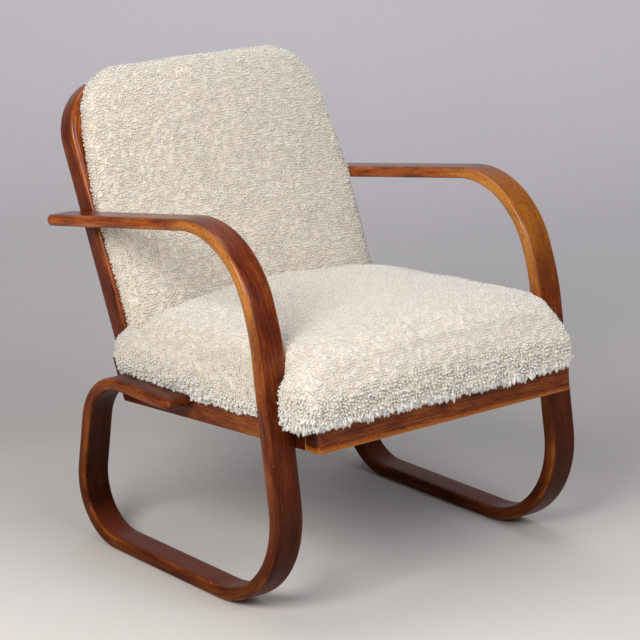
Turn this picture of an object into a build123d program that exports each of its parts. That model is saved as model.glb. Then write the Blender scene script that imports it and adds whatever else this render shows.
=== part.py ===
"""Easy chair: two bent-wood side frames, a seat frame and a raked hoop back, covered in curly fleece.

Millimetres, +Z up. The chair faces -Y and its right side, as the sitter sees it, is at -X.
"Ahead" is a distance forward of an upright plane across the chair, and heights run up from the floor.
"""
import os
from math import cos, hypot, radians, sin, tan

from build123d import *

# Side frames: one laminated strip each, bent in a single run from the arm's tip to the stub
frame_gap = 510.0
strip_width = 50.0
strip_edge_round = 6.0
arm_thickness = 18.5
upper_leg_thickness = 20.0
lower_leg_thickness = 24.0
runner_thickness = 21.0
rear_upright_thickness = 20.0
stub_thickness = 19.0
arm_tip_ahead = -289.0
arm_slope = 9.5
shoulder_ahead = 193.0
shoulder_height = 598.0
shoulder_radius = 159.0
upper_leg_lean = 21.0
upper_leg_straight = 1.9
knee_radius = 380.0
lower_leg_lean = 9.84
toe_radius = 157.0
heel_ahead = -235.0
heel_radius = 101.0
rear_upright_lean = 9.2
stub_lift = 44.6
stub_radius = 100.0
stub_tip_ahead = 36.0

# Seat frame: four rails in a plane that rises towards the front
seat_tilt = 4.4
seat_underside_height = 241.4
rail_height = 68.0
side_rail_thickness = 32.0
side_rail_rear = -151.0
front_rail_face = 343.0
front_rail_thickness = 34.0
front_rail_corner_round = 9.0
rail_edge_round = 4.0
rear_rail_rear = -128.0
rear_rail_thickness = 28.0
corner_block_leg = 38.0
corner_block_height = 40.0

# Back: a bent hoop that stands on the side rails, closed by a lower rail
back_rake = 24.7
back_foot_ahead = -171.7
back_foot_lift = 13.2
hoop_depth = 40.0
hoop_width = 34.0
hoop_top = 437.0
hoop_corner_radius = 100.0
hoop_edge_round = 8.0
lower_rail_start = 18.0
lower_rail_height = 42.0
lower_rail_dowel_spacing = 20.0

# Joinery
dowel_diameter = 10.0
dowel_length = 46.0
dowel_spacing = 28.0
screw_diameter = 5.0
screw_head_diameter = 9.5
screw_head_height = 3.0
screw_bite = 32.0
screw_slot_width = 1.2
screw_slot_depth = 1.0
leg_screw_spacing = 30.0
stub_screw_spacing = 80.0
stub_screw_edge = 40.0
arm_screw_spacing = 18.0
block_screw_length = 32.0
block_screw_spacing = 20.0
fit_slack = 0.15

# Upholstery
web_width = 50.0
web_thickness = 2.0
web_landing = 12.0
seat_web_pitch = 88.0
back_web_pitch = 92.0
cloth_thickness = 1.2
cloth_margin = 8.0
fleece_thickness = 12.0
soft_clearance = 0.5
seat_crown = 170.0
seat_shoulder = 144.0
seat_bulge = 15.0
seat_skirt_drop = 34.0
seat_front_roll = 29.0
seat_rear_end = -156.0
seat_corner = 26.0
back_crown = 52.0
back_shoulder = 30.0
back_side_setback = 1.5
back_top_rise = 11.0
back_bottom = -70.0
back_corner = 14.0
side_bow = 10.0
padding_setback = 30.0
back_padding_setback = 14.0
tack_head_diameter = 8.0
tack_head_height = 1.6
tack_shank_diameter = 1.8
tack_length = 10.0
tack_pitch = 70.0

# How a cushion rounds off at an end: the length of the rounding, then what comes off its half width,
# skirt, shoulder and crown by that end
seat_front_rounding = (90.0, 6.0, 14.0, 58.0, 66.0)
seat_rear_rounding = (70.0, 12.0, 20.0, 45.0, 45.0)
back_bottom_rounding = (80.0, 8.0, 0.0, 6.0, 8.0)
back_top_rounding = (hoop_corner_radius, 84.0, 0.0, 12.0, 26.0)
rounding_turns = (80, 50, 24, 0)

OVERSIZE = 2000.0


def crossing(p, p_run, q, q_run):
    """Point where the line through p along p_run meets the line through q along q_run."""
    spread = p_run[0] * q_run[1] - p_run[1] * q_run[0]
    reach = ((q[0] - p[0]) * q_run[1] - (q[1] - p[1]) * q_run[0]) / spread
    return (p[0] + p_run[0] * reach, p[1] + p_run[1] * reach)


def unit_run(start, end):
    """Unit direction from one (ahead, height) point to the next."""
    length = hypot(end[0] - start[0], end[1] - start[1])
    return ((end[0] - start[0]) / length, (end[1] - start[1]) / length)


def step(point, run, along, inward=0.0):
    """Point moved along a run and towards the inside of the bend, which lies to the run's right."""
    return (point[0] + run[0] * along + run[1] * inward, point[1] + run[1] * along - run[0] * inward)


# The seat's own plane: x across, y backward and z up from the rails' undersides
tilt = radians(seat_tilt)
seat_plane = Plane(
    origin=(0, 0, seat_underside_height), x_dir=(1, 0, 0), z_dir=(0, sin(tilt), cos(tilt))
)
# The back's own plane: x across, y up along the rake and z forward from the hoop's rear face
rake = radians(back_rake)
rail_top_at_back = seat_underside_height + rail_height / cos(tilt) + back_foot_ahead * tan(tilt)
back_foot_height = rail_top_at_back + back_foot_lift
back_plane = Plane(
    origin=(0, -back_foot_ahead, back_foot_height), x_dir=(1, 0, 0), z_dir=(0, -cos(rake), sin(rake))
)

# The upper leg holds its two bends, the inner corner's shift where the strip swells, and a straight
shoulder_turn = radians(90 + arm_slope - upper_leg_lean)
knee_turn = radians(upper_leg_lean - lower_leg_lean)
swell_shift = (lower_leg_thickness - upper_leg_thickness) / sin(knee_turn)
bend_lengths = shoulder_radius * tan(shoulder_turn / 2) + knee_radius * tan(knee_turn / 2)
upper_leg_length = bend_lengths + swell_shift + upper_leg_straight

# Sharp corners of the strip's outer surface, from the arm's tip round to the stub's tip
shoulder = (shoulder_ahead, shoulder_height)
arm_rise = tan(radians(arm_slope))
knee = (
    shoulder_ahead + upper_leg_length * sin(radians(upper_leg_lean)),
    shoulder_height - upper_leg_length * cos(radians(upper_leg_lean)),
)
stub_top_height = seat_underside_height + stub_lift
strip_corners = [
    (arm_tip_ahead, shoulder_height - (shoulder_ahead - arm_tip_ahead) * arm_rise),
    shoulder,
    knee,
    (knee[0] + knee[1] * tan(radians(lower_leg_lean)), 0.0),
    (heel_ahead, 0.0),
    (heel_ahead + stub_top_height * tan(radians(rear_upright_lean)), stub_top_height),
    (stub_tip_ahead, stub_top_height),
]
strip_thicknesses = [
    arm_thickness,
    upper_leg_thickness,
    lower_leg_thickness,
    runner_thickness,
    rear_upright_thickness,
    stub_thickness,
]
strip_radii = [shoulder_radius, knee_radius, toe_radius, heel_radius, stub_radius]
strip_runs = [unit_run(a, b) for a, b in zip(strip_corners, strip_corners[1:])]
frame_inner = frame_gap / 2
side_plane = Plane(origin=(-frame_inner, 0, 0), x_dir=(0, -1, 0), z_dir=(-1, 0, 0))

rail_inner = frame_inner - side_rail_thickness
hoop_inner = frame_inner - hoop_width
front_rail_rear = front_rail_face - front_rail_thickness
rear_rail_front = rear_rail_rear + rear_rail_thickness
slab_top = rail_height + 2 * web_thickness + cloth_thickness
back_front = hoop_depth + back_crown


def both_sides(right):
    """The right-hand solids and their mirror images, as one group."""
    return Compound(list(right.solids()) + list(mirror(right, about=Plane.YZ).solids()))


def block(x_range, y_range, z_range):
    """Box between the given limits."""
    spans = [high - low for low, high in (x_range, y_range, z_range)]
    middles = [(high + low) / 2 for low, high in (x_range, y_range, z_range)]
    return Pos(*middles) * Box(*spans)


def offset_corners(offsets):
    """Corners of the strip's outline after each run moves inwards by its own offset."""
    starts = [step(p, run, 0, off) for p, run, off in zip(strip_corners, strip_runs, offsets)]
    corners = [starts[0]]
    for i in range(1, len(starts)):
        corners.append(crossing(starts[i - 1], strip_runs[i - 1], starts[i], strip_runs[i]))
    corners.append(step(strip_corners[-1], strip_runs[-1], 0, offsets[-1]))
    return corners


def side_strip(grow=0.0, width=strip_width):
    """Right side frame as a bar of the given width, its outline grown by a clearance."""
    depths = [t + grow for t in strip_thicknesses]
    outer = offset_corners([-grow] * len(depths))
    inner = offset_corners(depths)
    first_round = strip_thicknesses[0] / 2
    last_round = strip_thicknesses[-1] / 2
    for side in (outer, inner):
        side[0] = step(side[0], strip_runs[0], first_round)
        side[-1] = step(side[-1], strip_runs[-1], -last_round)
    inner_radii = [
        r - (a + b) / 2 - grow for r, a, b in zip(strip_radii, strip_thicknesses, strip_thicknesses[1:])
    ]
    outer_line = FilletPolyline(*outer, radius=[r + grow for r in strip_radii])
    inner_line = FilletPolyline(*inner, radius=inner_radii)
    arm_tip = step(outer[0], strip_runs[0], -first_round - grow, first_round + grow)
    stub_tip = step(outer[-1], strip_runs[-1], last_round + grow, last_round + grow)
    arm_end = ThreePointArc(inner[0], arm_tip, outer[0])
    stub_end = ThreePointArc(outer[-1], stub_tip, inner[-1])
    outline = make_face([*outer_line.edges(), *stub_end.edges(), *inner_line.edges(), *arm_end.edges()])
    return extrude(side_plane * outline, amount=width)


def wood_screw(length, slack=0.0):
    """Countersunk screw along +Z from its flush head; with slack it is the hole for one."""
    shank = screw_diameter / 2 + slack
    head = screw_head_diameter / 2 + slack
    body = Cone(head, shank, screw_head_height, align=(Align.CENTER, Align.CENTER, Align.MIN))
    body += Cylinder(shank, length - screw_diameter, align=(Align.CENTER, Align.CENTER, Align.MIN))
    point = Cone(shank, shank / 4, screw_diameter + slack, align=(Align.CENTER, Align.CENTER, Align.MIN))
    body += Pos(0, 0, length - screw_diameter) * point
    if not slack:
        body -= Box(screw_head_diameter, screw_slot_width, 2 * screw_slot_depth)
    return body


def dowel(slack=0.0):
    """Glued beech dowel along Z, centred on its joint; with slack it is the hole for one."""
    return Cylinder(dowel_diameter / 2 + slack, dowel_length + 2 * slack)


def tack(slack=0.0):
    """Upholstery tack driven along -Z from Z = 0; with slack it is the hole for its shank."""
    shank_length = tack_length + slack
    shank = Cylinder(
        tack_shank_diameter / 2 + slack, shank_length, align=(Align.CENTER, Align.CENTER, Align.MAX)
    )
    if slack:
        return shank
    head = Cone(
        tack_head_diameter / 2,
        tack_head_diameter / 5,
        tack_head_height,
        align=(Align.CENTER, Align.CENTER, Align.MIN),
    )
    return shank + head


def placed(piece, places):
    """Copies of one solid at each place, as one group."""
    return Compound([place * piece for place in places])


def even_places(low, high, pitch):
    """Evenly spaced positions from low to high, at most about one pitch apart."""
    count = max(2, round((high - low) / pitch) + 1)
    return [low + (high - low) * i / (count - 1) for i in range(count)]


# Screws that hold the side frames, driven outwards from inside the rails and stiles
def outward(ahead, height, start):
    """Place on the right-hand side, at a distance from the middle, with +Z pointing outwards."""
    return Plane(origin=(-start, -ahead, height), x_dir=(0, 1, 0), z_dir=(-1, 0, 0)).location


rail_run = (cos(tilt), sin(tilt))
rail_middle = (-sin(tilt) * rail_height / 2, seat_underside_height + cos(tilt) * rail_height / 2)
leg_run = strip_runs[2]
leg_middle = step(strip_corners[2], leg_run, 0, lower_leg_thickness / 2)
leg_joint = crossing(leg_middle, leg_run, rail_middle, rail_run)
arm_run = strip_runs[0]
arm_middle = step(shoulder, arm_run, 0, arm_thickness / 2)
stile_run = (-sin(rake), cos(rake))
stile_middle = (
    back_foot_ahead + cos(rake) * hoop_depth / 2,
    back_foot_height + sin(rake) * hoop_depth / 2,
)
arm_joint = crossing(arm_middle, arm_run, stile_middle, stile_run)
stub_joint = (stub_tip_ahead - stub_screw_edge, stub_top_height - stub_thickness / 2)

leg_screw_places = [
    outward(*step(leg_joint, leg_run, side * leg_screw_spacing / 2), rail_inner) for side in (-1, 1)
]
stub_screw_places = [
    outward(stub_joint[0] - shift, stub_joint[1], rail_inner) for shift in (0.0, stub_screw_spacing)
]
arm_screw_places = [
    outward(*step(arm_joint, arm_run, side * arm_screw_spacing / 2), hoop_inner) for side in (-1, 1)
]
rail_screw = wood_screw(side_rail_thickness + screw_bite)
arm_screw = wood_screw(hoop_width + screw_bite)
rail_screw_hole = wood_screw(side_rail_thickness + screw_bite, fit_slack)
arm_screw_hole = wood_screw(hoop_width + screw_bite, fit_slack)
side_holes = placed(rail_screw_hole, leg_screw_places + stub_screw_places)
arm_holes = placed(arm_screw_hole, arm_screw_places)

nodes = {}

# Side frames
strip = side_strip()
strip_flats = strip.faces().filter_by(Axis.X)
strip = fillet(strip_flats.edges(), strip_edge_round)
strip = strip - side_holes - arm_holes
nodes["side_frame_right"] = strip
nodes["side_frame_left"] = mirror(strip, about=Plane.YZ)

# Seat rails, dowels and corner blocks, in the seat's own plane
block_low = (rail_height - corner_block_height) / 2
rail_dowel_heights = [rail_height / 2 + side * dowel_spacing / 2 for side in (-1, 1)]
front_dowel_x = -(rail_inner + side_rail_thickness / 2)
front_dowel_places = [
    Pos(front_dowel_x, -front_rail_rear, height) * Rot(90, 0, 0) for height in rail_dowel_heights
]
rear_dowel_ahead = rear_rail_rear + rear_rail_thickness / 2
rear_dowel_places = [
    Pos(-rail_inner, -rear_dowel_ahead, height) * Rot(0, 90, 0) for height in rail_dowel_heights
]
stile_dowel_x = -(frame_inner - hoop_width / 2)
stile_foot_ahead, stile_foot_height = crossing(
    stile_middle,
    stile_run,
    (-sin(tilt) * rail_height, seat_underside_height + cos(tilt) * rail_height),
    rail_run,
)
stile_dowel_place = Plane(
    origin=(stile_dowel_x, -stile_foot_ahead, stile_foot_height),
    x_dir=(1, 0, 0),
    z_dir=(0, sin(rake), cos(rake)),
).location


def corner_block(corner_ahead, inward):
    """Right-hand glue block in a corner of the seat frame, with its two screw places."""
    outline = Polygon(
        (-rail_inner, -corner_ahead),
        (-rail_inner + corner_block_leg, -corner_ahead),
        (-rail_inner, -corner_ahead - inward * corner_block_leg),
        align=None,
    )
    solid = Pos(0, 0, block_low) * extrude(outline, amount=corner_block_height, dir=(0, 0, 1))
    face_middle = (-rail_inner + corner_block_leg / 2, -corner_ahead - inward * corner_block_leg / 2)
    drive = Vector(-1, inward, 0).normalized()
    along = Vector(inward, 1, 0).normalized()
    places = []
    for side in (-1, 1):
        spot = Vector(*face_middle, rail_height / 2) + along * (side * block_screw_spacing / 2)
        places.append(Plane(origin=spot, x_dir=(0, 0, 1), z_dir=drive).location)
    return solid, places


front_block, front_block_places = corner_block(front_rail_rear, -1)
rear_block, rear_block_places = corner_block(rear_rail_front, 1)
block_screw_places = front_block_places + rear_block_places
block_holes = placed(wood_screw(block_screw_length, fit_slack), block_screw_places)

rear_slant = tan(rake - tilt)
side_rail_outline = Polygon(
    (side_rail_rear, 0),
    (front_rail_rear, 0),
    (front_rail_rear, rail_height),
    (side_rail_rear - rail_height * rear_slant, rail_height),
    align=None,
)
side_rail = extrude(side_plane * side_rail_outline, amount=-side_rail_thickness)
lower_outer_edge = side_rail.edges().filter_by(Axis.Y).group_by(Axis.Z)[0].sort_by(Axis.X)[0]
side_rail = fillet(lower_outer_edge, rail_edge_round)
front_rail = block((-frame_inner, frame_inner), (-front_rail_face, -front_rail_rear), (0, rail_height))
front_uprights = front_rail.edges().filter_by(Axis.Z).group_by(Axis.Y)[0]
front_rail = fillet(front_uprights, front_rail_corner_round)
lower_front_edge = front_rail.edges().filter_by(Axis.X).group_by(Axis.Z)[0].sort_by(Axis.Y)[0]
front_rail = fillet(lower_front_edge, rail_edge_round)
rear_rail = block((-rail_inner, rail_inner), (-rear_rail_front, -rear_rail_rear), (0, rail_height))

front_dowel_holes = both_sides(placed(dowel(fit_slack), front_dowel_places))
rear_dowel_holes = both_sides(placed(dowel(fit_slack), rear_dowel_places))
all_block_holes = both_sides(block_holes)

# Dust cover under the seat, and the tacks through it into the rails
cover_x = frame_inner - cloth_margin
cover_front = front_rail_face - cloth_margin
cover_rear = rear_rail_rear + cloth_margin
dust_cover = block((-cover_x, cover_x), (-cover_front, -cover_rear), (-cloth_thickness, 0))
side_tack_x = frame_inner - side_rail_thickness / 2
front_tack_ahead = front_rail_rear + front_rail_thickness / 2
rear_tack_ahead = rear_rail_rear + rear_rail_thickness / 2
cross_tack_xs = even_places(-rail_inner + tack_pitch / 2, rail_inner - tack_pitch / 2, tack_pitch)
side_tack_aheads = even_places(
    rear_rail_front + tack_pitch / 2, front_rail_rear - tack_pitch / 2, tack_pitch
)
dust_tack_spots = [(x, ahead) for ahead in (front_tack_ahead, rear_tack_ahead) for x in cross_tack_xs]
dust_tack_spots += [(side * side_tack_x, ahead) for side in (-1, 1) for ahead in side_tack_aheads]
dust_tack_places = [Pos(x, -ahead, -cloth_thickness) * Rot(180, 0, 0) for x, ahead in dust_tack_spots]
dust_tack_holes = placed(tack(fit_slack), dust_tack_places)

front_rail = front_rail - front_dowel_holes - all_block_holes - dust_tack_holes
rear_rail = rear_rail - rear_dowel_holes - all_block_holes - dust_tack_holes
side_rail = side_rail - front_dowel_holes - rear_dowel_holes - all_block_holes - dust_tack_holes
side_rail = seat_plane * side_rail - side_holes - stile_dowel_place * dowel(fit_slack)
nodes["seat_front_rail"] = seat_plane * front_rail
nodes["seat_rear_rail"] = seat_plane * rear_rail
nodes["seat_side_rail_right"] = side_rail
nodes["seat_side_rail_left"] = mirror(side_rail, about=Plane.YZ)
nodes["corner_blocks"] = seat_plane * both_sides(
    Compound([front_block - block_holes, rear_block - block_holes])
)
nodes["corner_block_screws"] = seat_plane * both_sides(
    placed(wood_screw(block_screw_length), block_screw_places)
)
nodes["front_rail_dowels"] = seat_plane * both_sides(placed(dowel(), front_dowel_places))
nodes["rear_rail_dowels"] = seat_plane * both_sides(placed(dowel(), rear_dowel_places))
nodes["leg_screws"] = both_sides(placed(rail_screw, leg_screw_places))
nodes["stub_screws"] = both_sides(placed(rail_screw, stub_screw_places))
nodes["seat_dust_cover"] = seat_plane * (dust_cover - dust_tack_holes)
nodes["dust_cover_tacks"] = seat_plane * placed(tack(), dust_tack_places)

# Back hoop and lower rail, in the back's own plane


def hoop_outline(half_width, top, radius, foot):
    """Inverted U, closed across its foot."""
    bend = FilletPolyline(
        (-half_width, foot), (-half_width, top), (half_width, top), (half_width, foot), radius=radius
    )
    sill = Line((half_width, foot), (-half_width, foot))
    return make_face([*bend.edges(), *sill.edges()])


hoop_foot = -2 * rail_height
hoop = extrude(hoop_outline(frame_inner, hoop_top, hoop_corner_radius, hoop_foot), amount=hoop_depth)
hoop = fillet(hoop.faces().filter_by(Axis.Z).edges(), hoop_edge_round)
hoop_void = hoop_outline(
    hoop_inner, hoop_top - hoop_width, hoop_corner_radius - hoop_width, 2 * hoop_foot
)
hoop = hoop - extrude(hoop_void, amount=hoop_depth)
lower_rail_top = lower_rail_start + lower_rail_height
lower_rail = block((-hoop_inner, hoop_inner), (lower_rail_start, lower_rail_top), (0, hoop_depth))
lower_rail_middle = lower_rail_start + lower_rail_height / 2
lower_dowel_places = [
    Pos(-hoop_inner, lower_rail_middle + side * lower_rail_dowel_spacing / 2, hoop_depth / 2)
    * Rot(0, 90, 0)
    for side in (-1, 1)
]
lower_dowel_holes = both_sides(placed(dowel(fit_slack), lower_dowel_places))

# Rear cover cloth and its tacks
rear_cover = extrude(
    hoop_outline(
        frame_inner - cloth_margin,
        hoop_top - cloth_margin,
        hoop_corner_radius - cloth_margin,
        lower_rail_start,
    ),
    amount=-cloth_thickness,
)
stile_tack_x = frame_inner - hoop_width / 2
stile_tack_ys = even_places(lower_rail_top, hoop_top - hoop_corner_radius, tack_pitch)
top_tack_reach = frame_inner - hoop_corner_radius
top_tack_xs = even_places(-top_tack_reach, top_tack_reach, tack_pitch)
low_tack_xs = even_places(-hoop_inner + tack_pitch / 2, hoop_inner - tack_pitch / 2, tack_pitch)
rear_tack_spots = [(side * stile_tack_x, y) for side in (-1, 1) for y in stile_tack_ys]
rear_tack_spots += [(x, hoop_top - hoop_width / 2) for x in top_tack_xs]
rear_tack_spots += [(x, lower_rail_middle) for x in low_tack_xs]
rear_tack_places = [Pos(x, y, -cloth_thickness) * Rot(180, 0, 0) for x, y in rear_tack_spots]
rear_tack_holes = placed(tack(fit_slack), rear_tack_places)

below_rails = seat_plane * block((-OVERSIZE, OVERSIZE), (-OVERSIZE, OVERSIZE), (-OVERSIZE, rail_height))
hoop = back_plane * (hoop - lower_dowel_holes - rear_tack_holes) - below_rails
hoop = hoop - both_sides(arm_holes) - both_sides(stile_dowel_place * dowel(fit_slack))
nodes["back_hoop"] = hoop
nodes["back_lower_rail"] = back_plane * (lower_rail - lower_dowel_holes - rear_tack_holes)
nodes["lower_rail_dowels"] = back_plane * both_sides(placed(dowel(), lower_dowel_places))
nodes["stile_dowels"] = both_sides(stile_dowel_place * dowel())
nodes["arm_screws"] = both_sides(placed(arm_screw, arm_screw_places))
nodes["back_rear_cover"] = back_plane * (rear_cover - rear_tack_holes)
nodes["rear_cover_tacks"] = back_plane * placed(tack(), rear_tack_places)

# Webbing: straps one way lie on the frame, and straps the other way cross them with folded ends


def straps_along_y(xs, y_range, level):
    """Straps that run along y, flat on the frame."""
    half = web_width / 2
    return Compound([block((x - half, x + half), y_range, (level, level + web_thickness)) for x in xs])


def straps_along_x(ys, reach, level):
    """Straps that run along x over the first ones, each end folded under onto the frame."""
    half = web_width / 2
    straps = []
    for y in ys:
        y_range = (y - half, y + half)
        strap = block((-reach, reach), y_range, (level + web_thickness, level + 2 * web_thickness))
        for fold in ((-reach, -reach + web_landing), (reach - web_landing, reach)):
            strap += block(fold, y_range, (level, level + web_thickness))
        straps.append(strap)
    return Compound(straps)


seat_reach = rail_inner + web_landing
seat_rear_edge = rear_rail_front - web_landing
seat_front_edge = front_rail_rear + web_landing
seat_cross_aheads = even_places(
    rear_rail_front + seat_web_pitch / 2, front_rail_rear - seat_web_pitch / 2, seat_web_pitch
)
seat_long_reach = rail_inner - web_width
seat_long_xs = even_places(-seat_long_reach, seat_long_reach, seat_web_pitch)
nodes["seat_webbing_lengthwise"] = seat_plane * straps_along_y(
    seat_long_xs, (-seat_front_edge, -seat_rear_edge), rail_height
)
nodes["seat_webbing_crosswise"] = seat_plane * straps_along_x(
    [-ahead for ahead in seat_cross_aheads], seat_reach, rail_height
)
nodes["seat_hessian"] = seat_plane * block(
    (-seat_reach, seat_reach), (-seat_front_edge, -seat_rear_edge), (slab_top - cloth_thickness, slab_top)
)
back_reach = hoop_inner + web_landing
back_low_edge = lower_rail_top - web_landing
back_top_edge = hoop_top - hoop_width + web_landing
back_cross_top = hoop_top - hoop_corner_radius - web_width / 2
back_cross_ys = even_places(lower_rail_top + back_web_pitch / 2, back_cross_top, back_web_pitch)
back_upright_reach = hoop_inner - hoop_corner_radius
back_upright_xs = even_places(-back_upright_reach, back_upright_reach, back_web_pitch)
back_slab = hoop_depth + 2 * web_thickness + cloth_thickness
nodes["back_webbing_upright"] = back_plane * straps_along_y(
    back_upright_xs, (back_low_edge, back_top_edge), hoop_depth
)
nodes["back_webbing_crosswise"] = back_plane * straps_along_x(back_cross_ys, back_reach, hoop_depth)
hessian_outline = hoop_outline(
    back_reach, back_top_edge, hoop_corner_radius - hoop_width + web_landing, back_low_edge
)
nodes["back_hessian"] = back_plane * extrude(
    Pos(0, 0, back_slab - cloth_thickness) * hessian_outline, amount=cloth_thickness
)

# Cushions: lofted through sections with a flat base, bowed sides and a crowned top


def cushion_section(y, half_width, low, shoulder, crown, corner):
    """Closed section across a cushion, in the upright plane at y."""
    waist = half_width - min(side_bow, (shoulder - low) / 4)
    middle = (low + shoulder) / 2
    base = Line((-waist, low), (waist, low))
    right = ThreePointArc((waist, low), (half_width, middle), (waist, shoulder))
    top = ThreePointArc((waist, shoulder), (0, crown), (-waist, shoulder))
    left = ThreePointArc((-waist, shoulder), (-half_width, middle), (-waist, low))
    face = make_face([*base.edges(), *right.edges(), *top.edges(), *left.edges()])
    rounding = min(corner, (shoulder - low) / 2)
    face = fillet(face.vertices().group_by(Axis.Y)[-1], rounding)
    return Plane(origin=(0, y, 0), x_dir=(1, 0, 0), z_dir=(0, -1, 0)) * face


def cushion(start, finish, start_rounding, finish_rounding, size, corner):
    """Form from y = start to y = finish; size is its half width, base, shoulder and crown."""
    last = radians(rounding_turns[0])
    rows = []
    for turn in [radians(degrees) for degrees in rounding_turns]:
        share = (1 - cos(turn)) / (1 - cos(last))
        inset = 1 - sin(turn) / sin(last)
        rows.append((start + start_rounding[0] * inset, share, start_rounding))
        rows.append((finish - finish_rounding[0] * inset, share, finish_rounding))
    half_width, low, shoulder, crown = size
    return loft(
        [
            cushion_section(
                y,
                half_width - share * draws[1],
                low + share * draws[2],
                shoulder - share * draws[3],
                crown - share * draws[4],
                corner,
            )
            for y, share, draws in sorted(rows)
        ],
        ruled=True,
    )


def seat_cushion(setback=0.0, sink=0.0):
    """Seat form in the seat's plane, set back at its ends and sides and sunk at its top."""
    return cushion(
        setback - front_rail_face - seat_front_roll,
        -seat_rear_end - setback,
        seat_front_rounding,
        seat_rear_rounding,
        (
            frame_inner + seat_bulge - setback,
            rail_height - seat_skirt_drop,
            seat_shoulder - sink,
            seat_crown - sink,
        ),
        seat_corner,
    )


def back_cushion(setback=0.0, sink=0.0):
    """Back form in the back's plane, set back at its ends and sides and sunk at its front."""
    return cushion(
        back_bottom + setback,
        hoop_top + back_top_rise - setback,
        back_bottom_rounding,
        back_top_rounding,
        (
            frame_inner - back_side_setback - setback,
            hoop_depth + soft_clearance,
            hoop_depth + back_shoulder - sink,
            hoop_depth + back_crown - sink,
        ),
        back_corner,
    )


def everything_below(level):
    """The half of space below a level of the plane in use."""
    return block((-OVERSIZE, OVERSIZE), (-OVERSIZE, OVERSIZE), (level - OVERSIZE, level))


rail_room = block(
    (-frame_inner - soft_clearance, frame_inner + soft_clearance),
    (-front_rail_face - soft_clearance, OVERSIZE),
    (-OVERSIZE, rail_height + soft_clearance),
)
seat_slab_room = block(
    (-seat_reach - soft_clearance, seat_reach + soft_clearance),
    (-seat_front_edge - soft_clearance, OVERSIZE),
    (0, slab_top + soft_clearance),
)
back_room = block(
    (-frame_inner - soft_clearance, frame_inner + soft_clearance),
    (-OVERSIZE, OVERSIZE),
    (-OVERSIZE, back_front + soft_clearance),
)
strip_room = Pos(soft_clearance, 0, 0) * side_strip(soft_clearance, strip_width + seat_bulge)
under_stub_room = block(
    (-OVERSIZE, soft_clearance - frame_inner),
    (-stub_tip_ahead - soft_clearance, OVERSIZE),
    (-OVERSIZE, stub_top_height - stub_thickness / 2),
)
side_room = both_sides(strip_room + under_stub_room)

seat_hollow = seat_cushion(padding_setback, fleece_thickness) - everything_below(rail_height)
seat_hollow = seat_plane * seat_hollow - back_plane * (Pos(0, 0, fleece_thickness) * back_room)
seat_fleece = seat_plane * (seat_cushion() - rail_room - seat_slab_room)
seat_fleece = seat_fleece - back_plane * back_room - side_room - seat_hollow
seat_padding = seat_cushion(padding_setback + soft_clearance, fleece_thickness + soft_clearance)
seat_padding = seat_plane * (seat_padding - everything_below(slab_top))
seat_padding_room = back_plane * (Pos(0, 0, fleece_thickness + soft_clearance) * back_room)
nodes["seat_padding"] = seat_padding - seat_padding_room
nodes["seat_fleece"] = seat_fleece

back_slab_room = extrude(
    hoop_outline(
        back_reach + soft_clearance,
        back_top_edge + soft_clearance,
        hoop_corner_radius - hoop_width + web_landing + soft_clearance,
        back_bottom - OVERSIZE,
    ),
    amount=back_slab + soft_clearance,
)
seat_slab_below = seat_plane * everything_below(slab_top + soft_clearance)
back_fleece_floor = seat_plane * everything_below(slab_top + soft_clearance + fleece_thickness)
back_hollow = back_plane * back_cushion(back_padding_setback, fleece_thickness) - back_fleece_floor
back_fleece = back_plane * (back_cushion() - back_slab_room) - seat_slab_below - back_hollow
back_padding = back_cushion(
    back_padding_setback + soft_clearance, fleece_thickness + soft_clearance
)
back_padding = back_plane * (back_padding - everything_below(back_slab))
nodes["back_padding"] = back_padding - Pos(0, 0, soft_clearance) * back_fleece_floor
nodes["back_fleece"] = back_fleece

# The origin lies on the floor under the middle of the chair's depth
overall = Compound([solid for node in nodes.values() for solid in node.solids()]).bounding_box()
to_origin = Pos(0, -(overall.min.Y + overall.max.Y) / 2, 0)

os.makedirs("parts", exist_ok=True)
for name, solid in nodes.items():
    export_step(to_origin * solid, f"parts/{name}.step")
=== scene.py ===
from math import cos, pi, radians, sin, tan

import bmesh
import bpy
import numpy as np
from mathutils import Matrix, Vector, noise
from mathutils.bvhtree import BVHTree


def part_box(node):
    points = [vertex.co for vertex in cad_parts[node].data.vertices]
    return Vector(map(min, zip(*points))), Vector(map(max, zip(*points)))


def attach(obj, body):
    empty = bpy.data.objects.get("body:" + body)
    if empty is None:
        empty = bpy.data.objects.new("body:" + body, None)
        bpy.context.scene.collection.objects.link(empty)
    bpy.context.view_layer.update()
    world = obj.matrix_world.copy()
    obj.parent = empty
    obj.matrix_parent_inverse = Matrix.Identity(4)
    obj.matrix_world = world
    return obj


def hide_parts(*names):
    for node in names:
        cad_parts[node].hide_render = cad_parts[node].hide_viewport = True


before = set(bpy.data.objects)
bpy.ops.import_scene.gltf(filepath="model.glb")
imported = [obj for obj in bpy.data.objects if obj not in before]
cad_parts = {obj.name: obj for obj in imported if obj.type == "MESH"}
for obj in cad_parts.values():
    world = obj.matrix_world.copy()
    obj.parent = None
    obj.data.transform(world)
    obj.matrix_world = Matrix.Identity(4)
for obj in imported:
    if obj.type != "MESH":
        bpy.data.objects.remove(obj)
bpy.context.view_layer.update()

# Side frames: one ribbon of laminated beech each, bent round moulds from the arm's tip over the shoulder,
# down the leg, along the floor and up to the stub that carries the seat.
# The ribbon was rounded along its edges, stained red-brown and lacquered; its edges are pale from wear and
# from a painted highlight, and painted shade and light change it low down.
MM = 0.001
strip_width = 50 * MM
strip_edge = 6 * MM
arm_tip_ahead = -289 * MM
arm_slope = radians(9.5)
shoulder = (193 * MM, 598 * MM)
upper_leg_run = 189.6 * MM
upper_leg_lean = radians(21.0)
lower_leg_lean = radians(9.84)
heel_ahead = -235 * MM
rear_upright_lean = radians(9.2)
stub_top = 286 * MM
stub_tip_ahead = 36 * MM
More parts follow.
